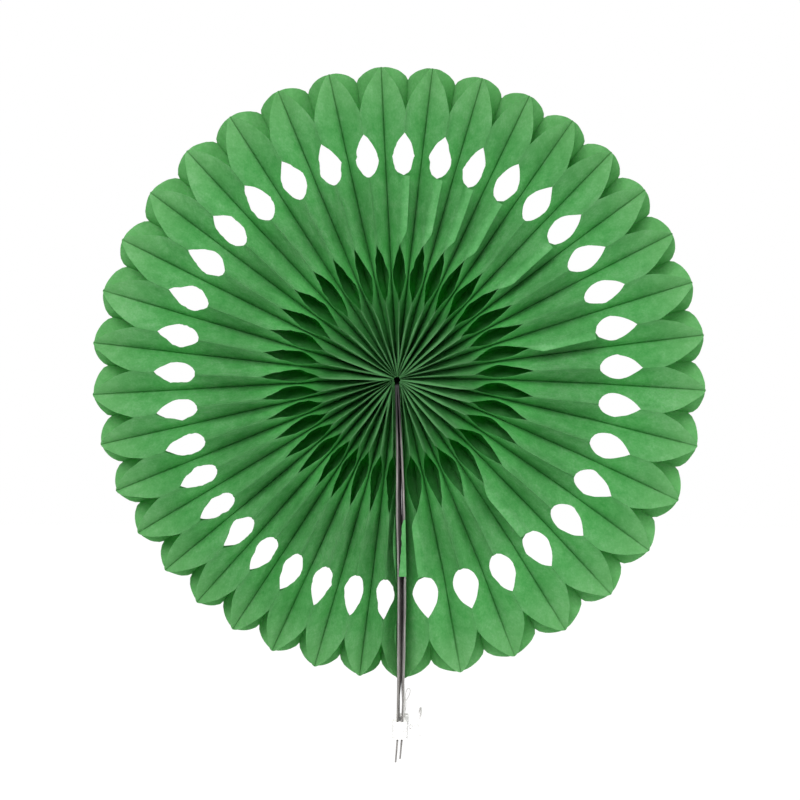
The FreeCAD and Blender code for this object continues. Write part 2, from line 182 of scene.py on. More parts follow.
# Camera: where the photograph was taken from, a little above the spine and to its right.
# Its focal length and the spine's place are in the photograph's pixels, counted from the
# top left corner.
CAMERA_DISTANCE = 0.9
CAMERA_AZIMUTH = math.radians(1.5)
CAMERA_ELEVATION = math.radians(5.3)
FOCAL_PIXELS = 1848
PICTURE = 800
SPINE_PIXEL = (397.8, 376.9)
SENSOR = 36


def add_camera():
    data = bpy.data.cameras.new("camera")
    data.sensor_width = SENSOR
    data.lens = FOCAL_PIXELS * SENSOR / PICTURE
    data.shift_x = (PICTURE / 2 - SPINE_PIXEL[0]) / PICTURE
    data.shift_y = (SPINE_PIXEL[1] - PICTURE / 2) / PICTURE
    camera = new_object("camera", data)
    away = Vector((
        math.sin(CAMERA_AZIMUTH) * math.cos(CAMERA_ELEVATION),
        -math.cos(CAMERA_AZIMUTH) * math.cos(CAMERA_ELEVATION),
        math.sin(CAMERA_ELEVATION)))
    camera.location = away * CAMERA_DISTANCE
    camera.rotation_euler = (-away).to_track_quat("-Z", "Y").to_euler()
    bpy.context.scene.camera = camera


add_camera()


# The thread's loop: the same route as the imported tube's, as steps from the knot's centre.
THREAD_RADIUS = 0.3 * MM
# a curve's box counts each point's radius, so that is small and the bevel is large
POINT_RADIUS = 0.0003
# the route's corners, in mm
LOOP_ROUTE = [
    (1.6, -0.3, 0.4), (2.9, -1.7, 1.8), (3.9, -3.1, 3.7), (4.7, -3.7, 6.0), (5.0, -2.7, 8.3),
    (4.9, -0.5, 9.6), (4.6, 1.9, 9.2), (4.2, 3.6, 7.4), (3.8, 4.2, 5.0), (3.5, 3.6, 2.7),
    (3.5, 2.2, 0.8), (3.8, 0.4, -0.8), (4.2, -1.5, -2.2), (4.4, -3.2, -3.9),
]


def knot_centre():
    low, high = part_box("tie_knot")
    return (Vector(low) + Vector(high)) / 2


def spline_length(curve):
    """Length of a curve without thickness, and the places along it."""
    mesh = bpy.data.meshes.new_from_object(curve)
    places = [vertex.co.copy() for vertex in mesh.vertices]
    bpy.data.meshes.remove(mesh)
    return sum((b - a).length for a, b in zip(places, places[1:])), places


def add_loop():
    data = bpy.data.curves.new("thread_loop_line", "CURVE")
    data.dimensions = "3D"
    data.resolution_u = 12
    spline = data.splines.new("NURBS")
    spline.points.add(len(LOOP_ROUTE) - 1)
    centre = knot_centre()
    for point, step in zip(spline.points, LOOP_ROUTE):
        point.co = (*(centre + Vector(step) * MM), 1)
        point.radius = POINT_RADIUS
    spline.order_u = 3
    spline.use_endpoint_u = True
    loop = new_object("hanging_loop", data)
    length, places = spline_length(loop)
    data.bevel_depth = THREAD_RADIUS / POINT_RADIUS
    data.bevel_resolution = 3
    data.use_fill_caps = True
    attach(loop, "root")
    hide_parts("thread_loop")
    print("thread loop length", round(length, 4))
    return loop


hanging_loop = add_loop()


# Die-cut outline of a leaf.
def arc_depth(x, start, end, bulge):
    """Height at x of the arc that joins two corners and bulges out to their left."""
    first, last = Vector(start), Vector(end)
    chord = last - first
    out = Vector((-chord.y, chord.x)).normalized()
    radius = (chord.length_squared / 4 + bulge ** 2) / (2 * bulge)
    centre = (first + last) / 2 + out * (bulge - radius)
    return centre.y + math.sqrt(max(radius ** 2 - (x - centre.x) ** 2, 0))


def cut_depth(x, stations, depth, bulges):
    """How deep a hole cuts into the leaf's edge at x, or 0 beside the hole."""
    start, widest, end = stations
    if not start < x < end:
        return 0.0
    if x < widest:
        return max(0.0, arc_depth(x, (start, 0), (widest, depth), bulges[0]))
    return max(0.0, arc_depth(x, (widest, depth), (end, 0), bulges[1]))


def rim_width(x, rim, power):
    """Width of the half leaf at x, where the rim rounds off towards the tip."""
    if x <= rim:
        return HALF_WIDTH
    share = max(0.0, (LEAF_LENGTH - x) / (LEAF_LENGTH - rim)) ** (1 / power)
    return GLUE_HALF + (HALF_WIDTH - GLUE_HALF) * share


def edge_width(x, front):
    """Distance at x from the mid line to the cut edge."""
    petal = PETAL_FRONT if front else PETAL_BACK
    depth = PETAL_DEPTHS[0 if front else 1]
    width = HALF_WIDTH - cut_depth(x, petal, depth, PETAL_BULGES)
    if front:
        width -= cut_depth(x, WINDOW, WINDOW_DEPTH, WINDOW_BULGES)
        return min(width, rim_width(x, FRONT_RIM, FRONT_RIM_POWER))
    return min(width, rim_width(x, BACK_RIM, BACK_RIM_POWER))


def leaf_stations():
    """Where the leaf is divided along its length: finer beside the holes' ends and at the
    tip."""
    holes = (*WINDOW, *PETAL_FRONT, *PETAL_BACK)
    corners = [SPINE_RADIUS, *holes, FRONT_RIM, BACK_RIM, LEAF_LENGTH]
    corners += [corner + side * HOLE_END_STEP for corner in holes for side in (-1, 1)]
    corners += [LEAF_LENGTH - step * MM for step in TIP_STEPS]
    corners = sorted(set(corners))
    stations = []
    for near, far in zip(corners, corners[1:]):
        count = max(1, round((far - near) / STEP))
        stations += [near + (far - near) * index / count for index in range(count)]
    return stations + [LEAF_LENGTH]


STATIONS = leaf_stations()


def column_places():
    """Shares from the front edge (-1) to the back edge (1), with 0 twice: once on each
    side of the glued mid line."""
    half = [index / COLUMNS for index in range(COLUMNS + 1)]
    return [-place for place in reversed(half)] + half


def flat_leaf():
    """A flat grid whose rows are drawn in to the die-cut outline."""
    columns = column_places()
    rows, lines = len(STATIONS) - 1, len(columns) - 1
    leaf = new_grid("flat_leaf", rows, lines)
    for vertex in leaf.data.vertices:
        x = STATIONS[round((vertex.co.x + 1) / 2 * rows)]
        line = round((vertex.co.y + 1) / 2 * lines)
        share = columns[line]
        side = -1 if line <= COLUMNS else 1
        width = edge_width(x, front=side < 0)
        reach = GLUE_HALF + abs(share) * (width - GLUE_HALF)
        near_tip = smooth((x - LEAF_LENGTH) / TIP_RUN + 1) * (1 - smooth(reach / TIP_WIDTH))
        vertex.co = (x - TIP_DIP * near_tip, side * reach, 0)
    layer = leaf.data.uv_layers.active
    layer.name = "leaf"
    for loop in leaf.data.loops:
        place = leaf.data.vertices[loop.vertex_index].co
        layer.data[loop.index].uv = (
            place.x / LEAF_LENGTH, place.y / (2 * HALF_WIDTH) + 0.5)
    return leaf


# Mid lines of the spread fan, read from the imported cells: the leaves are glued to each
# other along them, and every panel starts there. A point is on one when its depth is the
# glue's half width, and points closer than the gap belong to one distance from the spine.
MID_TOLERANCE = 0.02 * MM
GROUP_GAP = 1 * MM


def turn_of(place):
    """Angle clockwise from straight down, seen from the front, from 0 to a full turn."""
    return (math.atan2(place.x, place.z) - math.pi) % (2 * math.pi)


def mid_points(name):
    """The (radius, left point, right point) of a cell's two mid lines, from the spine out."""
    places = [v.co for v in nodes[name].data.vertices
              if abs(abs(v.co.y) - GLUE_HALF) < MID_TOLERANCE]
    places = sorted(((math.hypot(p.x, p.z), turn_of(p), p.x, p.z) for p in places))
    groups = [[places[0]]]
    for place in places[1:]:
        if place[0] - groups[-1][0][0] > GROUP_GAP:
            groups.append([])
        groups[-1].append(place)
    lines = []
    for group in groups:
        ends = [min(group, key=lambda p: p[1]), max(group, key=lambda p: p[1])]
        lines.append((ends[0][0], *[Vector((p[2], 0, p[3])) for p in ends]))
    return lines


MID_POINTS = [mid_points(f"cell_{number + 1:02d}") for number in range(CELLS)]


def mid_pair(number, radius):
    """The cell's left and right mid line at a radius; the outermost ones follow the cards."""
    lines = MID_POINTS[number]
    for near, far in zip(lines, lines[1:]):
        if radius <= far[0]:
            break
    share = clamp((radius - near[0]) / (far[0] - near[0]))
    left, right = [near[side].lerp(far[side], share) for side in (1, 2)]
    if number == 0:
        left.x += pinch("left", 0, left.z)
    if number == CELLS - 1:
        right.x += pinch("right", 0, right.z)
    return left, right


# Cover cards: top, neck, tail and end of each one's centre line as (X, Z), and its bow,
# all in mm.
CARD_THICKNESS = 0.8 * MM
CARD_HALF = 16.7 * MM
CARD_LINES = {
    "left": ((-0.45, -2.5), (0.2, -166.2), (0.2, -175.7), (-0.65, -187.2), 0.8),
    "right": ((0.45, -2.5), (2.5, -166.2), (2.5, -175.7), (1.5, -185.5), 2.4),
}
# behind their front edges the cards lean together between these depths, down to the height
# where they part again
PINCH_RUN = (-15.5 * MM, -4 * MM)
PINCH_END = (-151 * MM, -163 * MM)
# the left card's swell: its middle, half height and reach
SWELL = (-62 * MM, 20 * MM, 0.5 * MM)
# the gap that stays between the cards where they lean together
CARD_GAP = 0.15 * MM
CARD_ROWS, CARD_COLUMNS = 110, 16
# how far the boards' back corners reach up into the spine's open middle, and the depth and
# the height over which they rise
SPINE_LIFT, LIFT_DEPTH, LIFT_HEIGHT = 2.2 * MM, 10 * MM, 5 * MM
# worn corners, and how far the long edges and the lower end are frayed, from where on, and
# over what run
CARD_WEAR = 0.13 * MM
EDGE_FRAY, EDGE_FRAY_START, EDGE_FRAY_RUN = 0.28 * MM, 15.5 * MM, 1 * MM
END_FRAY, END_FRAY_RUN = 0.5 * MM, 1.2 * MM


def card_x(side, z):
    """X of a card's centre line at a height."""
    *corners, bow = CARD_LINES[side]
    top, neck, tail, end = [Vector(corner) * MM for corner in corners]
    if z < tail.y:
        return tail.lerp(end, (tail.y - z) / (tail.y - end.y)).x
    if z < neck.y:
        return neck.x
    chord = neck - top
    out = Vector((-chord.y, chord.x)).normalized()
    radius = (chord.length_squared / 4 + (bow * MM) ** 2) / (2 * bow * MM)
    centre = (top + neck) / 2 + out * (bow * MM - radius)
    return centre.x + math.sqrt(radius ** 2 - (min(z, top.y) - centre.y) ** 2)


def pinch(side, y, z):
    """How far a card, and the leaf on it, moves inward: behind their front edges the cards
    lean together, and halfway down the left one swells out."""
    gap = card_x("right", z) - card_x("left", z) - CARD_THICKNESS - CARD_GAP
    fade = 1 - smooth((PINCH_END[0] - z) / (PINCH_END[0] - PINCH_END[1]))
    share = smooth((y - PINCH_RUN[0]) / (PINCH_RUN[1] - PINCH_RUN[0]))
    inward = max(gap, 0) / 2 * fade * share
    if side == "right":
        return -inward
    middle, half_height, reach = SWELL
    return inward - reach * bell(z, middle, half_height)


# How each cell departs from the perfect fold. Each kind of departure has its own number,
# so that no two of them wander together.
(CELL_LEAN, SEAM_CHANGE, WINDOW_EDGE, BACK_LEAN, RIDGE_SWAY, PETAL_EDGE, SEAM_SPARE,
 LAID_SIDE, LAID_CHANGE) = range(1, 10)


def wander(number, kind, along=0.0):
    """A smooth random value from about -1 to 1 that belongs to one cell."""
    return 1.8 * waves(number * 7.31 + 0.5, kind * 13.7 + 0.25, along)


def near_spine(x):
    """1 where the pleats crowd round the spine, 0 from the windows on."""
    return 1 - smooth((x - CROWD_END) / CROWD_RUN)


def lip_share(number, x):
    """1 where a cell's seam is a full lip, 0 where it is a plain seam."""
    start, full, end = LIP_RUN
    if number not in LIP_CELLS or x >= end:
        return 0.0
    return smooth((x - start) / (full - start))


def seam_lean(number, x):
    """Angle by which the glued seam leans over clockwise from straight out."""
    lean = SEAM_LEAN + LEAN_SPREAD * wander(number, CELL_LEAN)
    lean += LEAN_SWING * wander(number, SEAM_CHANGE, x / LEAN_WAVE)
    laid = LAID_LEAN if wander(number, LAID_SIDE) > -0.2 else -LAID_LEAN
    laid += LAID_SWING * wander(number, LAID_CHANGE, x / LAID_WAVE)
    lean += (laid - lean) * near_spine(x)
    return lean + (LIP_LEAN - lean) * lip_share(number, x)


def seam_width(number, x):
    """Width at x of the front's glued seam, or of its lip."""
    width = SEAM + (RIM_SEAM - SEAM) * smooth((x - LIP_RUN[2]) / RIM_SEAM_RUN)
    spare = clamp(0.45 + 0.5 * wander(number, SEAM_SPARE, x / SPARE_WAVE))
    width += near_spine(x) * SPARE_SEAM * spare
    return width + (LIP - width) * lip_share(number, x)


def ragged(number, hand, x, front):
    """How far a front hole's cut edge strays into the hole, more on the left half's cells,
    whose petal holes are also narrower."""
    share = 1.0 if number < CELLS / 2 + 3 else RIGHT_STRAY
    for kind, hole, narrower in ((WINDOW_EDGE, WINDOW, 0.0),
                                 (PETAL_EDGE, PETAL_FRONT, NARROWER)):
        start, _, end = hole
        if front and start < x < end:
            fade = math.sin(math.pi * (x - start) / (end - start)) ** 0.5
            stray = wander(number, kind + hand * 0.37, x / STRAY_WAVES[0])
            stray += 0.5 * wander(number, kind + hand * 0.71, x / STRAY_WAVES[1])
            return share * STRAY * fade * (stray + narrower)
    return 0.0


def panel_bow(x):
    """How much of the full bow the panels have at x."""
    near, far = BOW_RUN
    return BOW_INSIDE + (BOW_OUTSIDE - BOW_INSIDE) * smooth((x - near) / (far - near))


def fold_point(number, hand, x, y):
    """Where a point of the flat leaf lies in the spread fan."""
    left, right = mid_pair(number, x)
    gap = right - left
    half = gap.length / 2
    tangent = gap.normalized()
    height = math.sqrt(HALF_WIDTH ** 2 - half ** 2)
    foot = left if hand < 0 else right
    ridge = (left + right) / 2
    side = -1 if y < 0 else 1
    front = side < 0
    width = edge_width(x, front)
    reach = abs(y)
    if reach > GLUE_HALF:
        share_of_edge = (reach - GLUE_HALF) / max(width - GLUE_HALF, 1e-6)
        reach += ragged(number, hand, x, front) * share_of_edge
    # the panel runs from the mid line to the seam, and the seam stands on from there
    share = clamp((reach - GLUE_HALF) / (HALF_WIDTH - GLUE_HALF))
    seam = seam_width(number, x) if front else SEAM
    seam_share = seam / HALF_WIDTH
    body = clamp(share / (1 - seam_share))
    bow = panel_bow(x) * math.sin(2 * math.pi * body) / (2 * math.pi)
    place = foot.lerp(ridge, body - bow)
    depth = GLUE_HALF + min(share, 1 - seam_share) * (height - GLUE_HALF)
    beyond = max(0.0, share - (1 - seam_share)) * HALF_WIDTH
    if front:
        lean = seam_lean(number, x)
    else:
        lean = BACK_SWING * wander(number, BACK_LEAN, x / BACK_WAVE)
    lean *= SPINE_LEAN + (1 - SPINE_LEAN) * smooth(x / SPINE_LEAN_RUN)
    place = place + tangent * beyond * math.sin(lean)
    depth += beyond * math.cos(lean)
    if reach < GLUE_HALF:
        depth = reach
    (long_x, long_y), (short_x, short_y) = CRUMPLE_WAVES
    crumple = waves(x / long_x, y / long_y, number * 3.7 + hand)
    crumple += 0.5 * waves(x / short_x, y / short_y, number * 5.1 - hand)
    panel = math.sin(math.pi * body) * min(1.0, half / CRUMPLE_ROOM)
    place = place + tangent * crumple * panel * CRUMPLE
    sway = wander(number, RIDGE_SWAY, x / SWAY_WAVE) * SWAY
    place = place + tangent * (sway * smooth(body) * min(1.0, half / SWAY_ROOM))
    # round the spine the leaves' back corners crowd into its open middle
    crowd = smooth(y / DRAWN_DEPTH) * (1 - smooth((x - SPINE_RADIUS) / DRAWN_RUN))
    place *= 1 - DRAWN_IN * crowd
    place.y = side * depth
    return place


def fold_leaf(blank, name, number, hand):
    """A copy of the flat leaf, folded to its place in the cell."""
    mesh = blank.data.copy()
    for vertex in mesh.vertices:
        vertex.co = fold_point(number, hand, vertex.co.x, vertex.co.y)
    return new_object(name, mesh)


def finish_tissue(piece, node):
    thicken(piece, TISSUE)
    apply_modifiers(piece)
    shade_smooth(piece, 50)
    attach(piece, "root")
    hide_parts(node)


def fold_cell(blank, number):
    """Two leaves that meet along both ridges."""
    name = f"folded_cell_{number + 1:02d}"
    leaves = [fold_leaf(blank, name, number, hand) for hand in (-1, 1)]
    select(*leaves)
    bpy.ops.object.join()
    finish_tissue(leaves[0], f"cell_{number + 1:02d}")
    return leaves[0]


flat = flat_leaf()
tissue_pieces = [fold_cell(flat, number) for number in range(CELLS)]


def add_board(side):
    """A strip of grey board with frayed edges."""
    board = new_grid(f"{side}_board", CARD_ROWS, CARD_COLUMNS)
    top, end = CARD_LINES[side][0][1] * MM, CARD_LINES[side][3][1] * MM
    for vertex in board.data.vertices:
        z = top + (end - top) * (vertex.co.x + 1) / 2
        y = CARD_HALF * vertex.co.y
        z += SPINE_LIFT * smooth(y / LIFT_DEPTH) * clamp((z - top) / LIFT_HEIGHT + 1)
        vertex.co = (card_x(side, z) + pinch(side, y, z), y, z)
    thicken(board, CARD_THICKNESS)
    worn = board.modifiers.new("worn_edges", "BEVEL")
    worn.width = CARD_WEAR
    worn.segments = 2
    worn.limit_method = "ANGLE"
    worn.angle_limit = math.radians(60)
    apply_modifiers(board)
    for vertex in board.data.vertices:
        edge = clamp((abs(vertex.co.y) - EDGE_FRAY_START) / EDGE_FRAY_RUN)
        fray = abs(waves(vertex.co.z / (2.5 * MM), vertex.co.x / MM, 9.0))
        vertex.co.y -= math.copysign(fray * EDGE_FRAY * edge, vertex.co.y)
        low = clamp((end + END_FRAY_RUN - vertex.co.z) / END_FRAY_RUN)
        fray = abs(waves(vertex.co.y / (2 * MM), 4.0, 2.0))
        vertex.co.z += fray * END_FRAY * low
    shade_smooth(board, 40)
    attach(board, "root")
    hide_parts(f"{side}_card")
    return board


boards = [add_board(side) for side in ("left", "right")]


# The outermost leaves lie flat on the cards, this far off the outermost mid lines.
LINING_OFFSET = 0.06 * MM
# how far the wavy outer part of a lining stands off, and the share where that part starts
LINING_WAVE, LINING_EDGE = 0.25 * MM, 0.8
# where the left lining's front edge flares off its card: distance, run and reach in mm
FLARES = ((82, 13, 1.5), (124, 5, 0.9), (141, 6, 0.7))


def lining_place(side, x):
    """The place at x of a lining's mid line."""
    left, right = mid_pair(0 if side == "left" else CELLS - 1, x)
    inward = 1 if side == "left" else -1
    return (left if side == "left" else right) + Vector((inward * LINING_OFFSET, 0, 0))


def flare(x):
    """How far the left lining's front edge stands off its card."""
    return sum(reach * MM * bell(x, at * MM, run * MM) for at, run, reach in FLARES)


def add_lining(side):
    inward = 1 if side == "left" else -1
    mesh = flat.data.copy()
    for vertex in mesh.vertices:
        x, y = vertex.co.x, vertex.co.y
        place = lining_place(side, x)
        wave = waves(x / (9 * MM), y / (12 * MM), 50 + inward)
        edge = clamp((abs(y) / HALF_WIDTH - LINING_EDGE) / (1 - LINING_EDGE))
        place.x += pinch(side, y, place.z) - pinch(side, 0, place.z)
        place.x -= inward * abs(wave) * LINING_WAVE * edge
        if side == "left" and y < 0:
            place.x -= flare(x) * edge ** 2
        place.y = y
        vertex.co = place
    return new_object(f"{side}_lining_leaf", mesh)


# The right lining has a lip that folds over its card's front edge: where it starts and
# ends, how wide it is there, how fast it widens, and how much of it goes into the bend.
LIP_STRIP = (67.6 * MM, 95.3 * MM)
LIP_STRIP_WIDTHS = (1.9 * MM, 3.9 * MM)
LIP_STRIP_POWER = 2.5
LIP_STRIP_BEND = 0.75 * MM
# how far the bend starts behind the card's front edge, the share of the width at the
# narrow end's corner, how long that corner is, and how much the edge and the face wave
LIP_STRIP_INSET = 0.35 * MM
LIP_STRIP_CORNER, LIP_STRIP_CORNER_RUN = 0.4, 0.12
LIP_STRIP_EDGE_WAVE, LIP_STRIP_WAVE = 0.4 * MM, 0.3 * MM
# the share of the leaf's width that the lip's colours are taken from
# that band lies under the painted ridge highlight, which makes the lip pale
LIP_STRIP_COLOURS = 0.03
LIP_STRIP_ROWS, LIP_STRIP_COLUMNS = 36, 10


def add_lip():
    lip = new_grid("lining_lip", LIP_STRIP_ROWS, LIP_STRIP_COLUMNS)
    start, end = LIP_STRIP
    narrow, wide = LIP_STRIP_WIDTHS
    for vertex in lip.data.vertices:
        along, across = (vertex.co.x + 1) / 2, (vertex.co.y + 1) / 2
        x = start + (end - start) * along
        width = narrow + (wide - narrow) * along ** LIP_STRIP_POWER
        corner = smooth(along / LIP_STRIP_CORNER_RUN)
        width *= LIP_STRIP_CORNER + (1 - LIP_STRIP_CORNER) * corner
        width += LIP_STRIP_EDGE_WAVE * waves(x / (3 * MM), 3.0, 8.0)
        reach = across * (LIP_STRIP_BEND + width)
        wave = abs(waves(x / (7 * MM), reach / (3 * MM), 21.0))
        place = lining_place("right", x)
        place.x -= pinch("right", 0, place.z) + max(0.0, reach - LIP_STRIP_BEND)
        fold = CARD_HALF - LIP_STRIP_INSET + min(reach, LIP_STRIP_BEND)
        place.y = -fold - wave * LIP_STRIP_WAVE * across
        vertex.co = place
    layer = lip.data.uv_layers.active
    layer.name = "leaf"
    for loop in lip.data.loops:
        u, v = layer.data[loop.index].uv
        layer.data[loop.index].uv = (
            (start + (end - start) * u) / LEAF_LENGTH, LIP_STRIP_COLOURS * v)
    return lip


lip = add_lip()
linings = [add_lining(side) for side in ("left", "right")]
select(linings[1], lip)
bpy.ops.object.join()
for side, lining in zip(("left", "right"), linings):
    finish_tissue(lining, f"{side}_lining")
tissue_pieces += linings
bpy.data.objects.remove(flat)


# Thread wound round both tails, over a core of its inner turns, and the knot beside it.
WINDING = (*[Vector(corner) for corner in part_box("tie_winding")],)
TURNS = 15
CORNER_STEPS, SIDE_STEPS = 4, 6
# the outer turns' line and the core's outside and inside: how far they lie inside the
# winding's box, and how round their corners are
TURN_LINE = (0.45 * MM, 1.3 * MM)
CORE_OUTSIDE = (0.62 * MM, 1.1 * MM)
CORE_INSIDE = (1.7 * MM, 0.3 * MM)
# how far the outer turns stay below the top and above the bottom, how far they drift, and
# the least room that leaves
TURN_ROOM, DRIFT, LEAST_ROOM = 0.4 * MM, 0.35 * MM, 0.35 * MM
# the same room for the core's inside and outside rims, and for the packing in the middle
CORE_ROOMS = (0.7 * MM, 0.5 * MM)
PACKING_ROOMS = (0.6 * MM, 0.5 * MM)
# the packing's gap to the cards, its distance from the winding's box, and how far it
# reaches past the cards' edges
PACKING_GAP, PACKING_INSET, PACKING_REACH = 0.02 * MM, 0.7 * MM, 0.4 * MM
# how much lower the winding's top is at the back than at the front, over this depth
SAG, SAG_RUN = 6.2 * MM, 1.6 * CARD_HALF
# the thread is squeezed wide in the winding and the knot, and frayed thin in loose strands
TURN_RADIUS, KNOT_RADIUS, STRAND_RADIUS = 0.34 * MM, 0.36 * MM, 0.16 * MM


def ring_corner(half, corner, quarter, turned):
    """The place on a rounded corner at an angle, in the ring's own (X, Y)."""
    middle = math.pi / 2 * quarter + math.pi / 4
    centre = Vector((math.copysign(half.x - corner, math.cos(middle)),
                     math.copysign(half.y - corner, math.sin(middle))))
    angle = math.pi / 2 * quarter + turned
    return centre + corner * Vector((math.cos(angle), math.sin(angle)))


def winding_ring(inset, corner):
    """A rounded rectangle, as (X, Y), that lies inside the winding's box."""
    low, high = WINDING
    middle = (low + high) / 2
    half = (high - low) / 2 - Vector((inset, inset, 0))
    ring = []
    for quarter in range(4):
        ring += [ring_corner(half, corner, quarter, math.pi / 2 * step / CORNER_STEPS)
                 for step in range(CORNER_STEPS + 1)]
        last, after = ring[-1], ring_corner(half, corner, quarter + 1, 0)
        ring += [last.lerp(after, step / SIDE_STEPS) for step in range(1, SIDE_STEPS)]
    return [point + middle.xy for point in ring]


def thread_tube(name, places, radius, cyclic=False):
    """A round thread along a row of places."""
    data = bpy.data.curves.new(name, "CURVE")
    data.dimensions = "3D"
    spline = data.splines.new("POLY")
    spline.points.add(len(places) - 1)
    for point, place in zip(spline.points, places):
        point.co = (*place, 1)
    spline.use_cyclic_u = cyclic
    data.bevel_depth = radius
    data.bevel_resolution = 2
    data.use_fill_caps = True
    select(new_object(name, data))
    bpy.ops.object.convert(target="MESH")
    return bpy.context.object


def sag(y):
    """How much lower the winding's top is at this depth than at the front."""
    return SAG * smooth((y + CARD_HALF) / SAG_RUN)


def add_turns():
    """The outer turns, from the top down."""
    low, high = WINDING
    ring = winding_ring(*TURN_LINE)
    count = len(ring)
    places = []
    for step in range(TURNS * count + 1):
        point, along = ring[step % count], step / (TURNS * count)
        drift = waves(step / count * 2.3, 0.5, 7.0)
        top = high.z - TURN_ROOM - sag(point.y)
        z = top + (low.z + TURN_ROOM - top) * along + DRIFT * drift
        z = clamp(z, low.z + LEAST_ROOM, high.z - LEAST_ROOM)
        places.append((point.x, point.y, z))
    return thread_tube("thread_winding", places, TURN_RADIUS)


def add_core():
    """A closed sleeve that stands for the turns beneath."""
    low, high = WINDING
    outside, inside = winding_ring(*CORE_OUTSIDE), winding_ring(*CORE_INSIDE)
    count = len(outside)
    inner_room, outer_room = CORE_ROOMS
    rims = [(inside, low.z + inner_room), (outside, low.z + outer_room),
            (outside, high.z - outer_room), (inside, high.z - inner_room)]
    vertices = [(point.x, point.y, z - (sag(point.y) if z > (low.z + high.z) / 2 else 0))
                for points, z in rims for point in points]
    faces = []
    for rim in range(len(rims)):
        for step in range(count):
            after = (step + 1) % count
            here, there = rim * count, (rim + 1) % len(rims) * count
            faces.append((here + step, here + after, there + after, there + step))
    mesh = bpy.data.meshes.new("winding_core")
    mesh.from_pydata(vertices, [], faces)
    return new_object("winding_core", mesh)


def add_winding():
    turns = add_turns()
    core = add_core()
    strands = [thread_tube("loose_strand", strand_places(corners), STRAND_RADIUS)
               for corners in STRANDS]
    select(turns, core, *strands, *add_packing())
    bpy.ops.object.join()
    shade_smooth(turns, 60)
    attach(turns, "root")
    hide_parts("tie_winding")
    return turns


def add_packing():
    """Thread packed in beside and between the cards, inside the winding."""
    low, high = WINDING
    z_low, z_high = low.z + PACKING_ROOMS[0], high.z - PACKING_ROOMS[1]
    half = CARD_THICKNESS / 2 + PACKING_GAP
    left, right = card_x("left", z_high), card_x("right", z_high)
    faces_x = [low.x + PACKING_INSET, left - half, left + half,
               right - half, right + half, high.x - PACKING_INSET]
    blocks = []
    for near, far in zip(faces_x[::2], faces_x[1::2]):
        deselect()
        bpy.ops.mesh.primitive_cube_add(size=1)
        block = bpy.context.object
        for vertex in block.data.vertices:
            y = math.copysign(CARD_HALF + PACKING_REACH, vertex.co.y)
            vertex.co = (near if vertex.co.x < 0 else far, y,
                         z_low if vertex.co.z < 0 else z_high - sag(y))
        blocks.append(block)
    return blocks


# Corners of the loose strands in front of the winding and above it, in mm.
STRANDS = [
    [(3.9, -17.6, -167.6), (4.1, -17.9, -162), (3.7, -17.7, -157), (4.2, -17.5, -152.5),
     (5.3, -17.3, -149.8), (6.6, -17.4, -150.6), (6.2, -17.6, -153.2), (4.6, -17.7, -156)],
    [(3.4, -17.9, -167.4), (3.7, -18.1, -163), (4.6, -18.0, -158.5), (4.0, -17.9, -154)],
    [(-1.9, -18.2, -166.9), (0.6, -18.5, -168.6), (3.2, -18.4, -170.6), (5.2, -18.1, -168.2)],
]


def strand_places(corners):
    """A strand's corners, rounded off by halving its runs three times."""
    places = [Vector(corner) * MM for corner in corners]
    for _ in range(3):
        rounded = [places[0]]
        for near, far in zip(places, places[1:]):
            rounded += [near.lerp(far, 0.25), near.lerp(far, 0.75)]
        places = rounded + [places[-1]]
    return places


# The knot: half the distance between its strands, and in how many steps it is drawn.
KNOT_SIZE = 0.37 * MM
KNOT_STEPS = 90


def add_knot():
    """An overhand knot pulled tight: a closed trefoil."""
    centre = knot_centre()
    places = []
    for step in range(KNOT_STEPS):
        t = 2 * math.pi * step / KNOT_STEPS
        places.append(centre + KNOT_SIZE * Vector((
            math.sin(3 * t), math.sin(t) + 2 * math.sin(2 * t),
            math.cos(t) - 2 * math.cos(2 * t))))
    knot = thread_tube("thread_knot", places, KNOT_RADIUS, cyclic=True)
    shade_smooth(knot, 60)
    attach(knot, "root")
    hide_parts("tie_knot")
    return knot


thread_pieces = [add_winding(), add_knot(), hanging_loop]


# Materials.
class Socket:
    """A shader output on which arithmetic adds Math nodes."""

    def __init__(self, maker, output):
        self.maker = maker
        self.output = output

    def _math(self, operation, *values):
        return self.maker.node("ShaderNodeMath", {"operation": operation}, values)

    def __add__(self, other):
        return self._math("ADD", self, other)

    def __radd__(self, other):
        return self._math("ADD", other, self)

    def __sub__(self, other):
        return self._math("SUBTRACT", self, other)

    def __rsub__(self, other):
        return self._math("SUBTRACT", other, self)

    def __mul__(self, other):
        return self._math("MULTIPLY", self, other)

    def __rmul__(self, other):
        return self._math("MULTIPLY", other, self)

    def absolute(self):
        return self._math("ABSOLUTE", self)

    def ramp(self, low, high, start=0.0, end=1.0):
        """start below low, end above high, and a smooth step between."""
        return self.maker.node("ShaderNodeMapRange", {"interpolation_type": "SMOOTHSTEP"},
                               {"Value": self, "From Min": low, "From Max": high,
                                "To Min": start, "To Max": end})


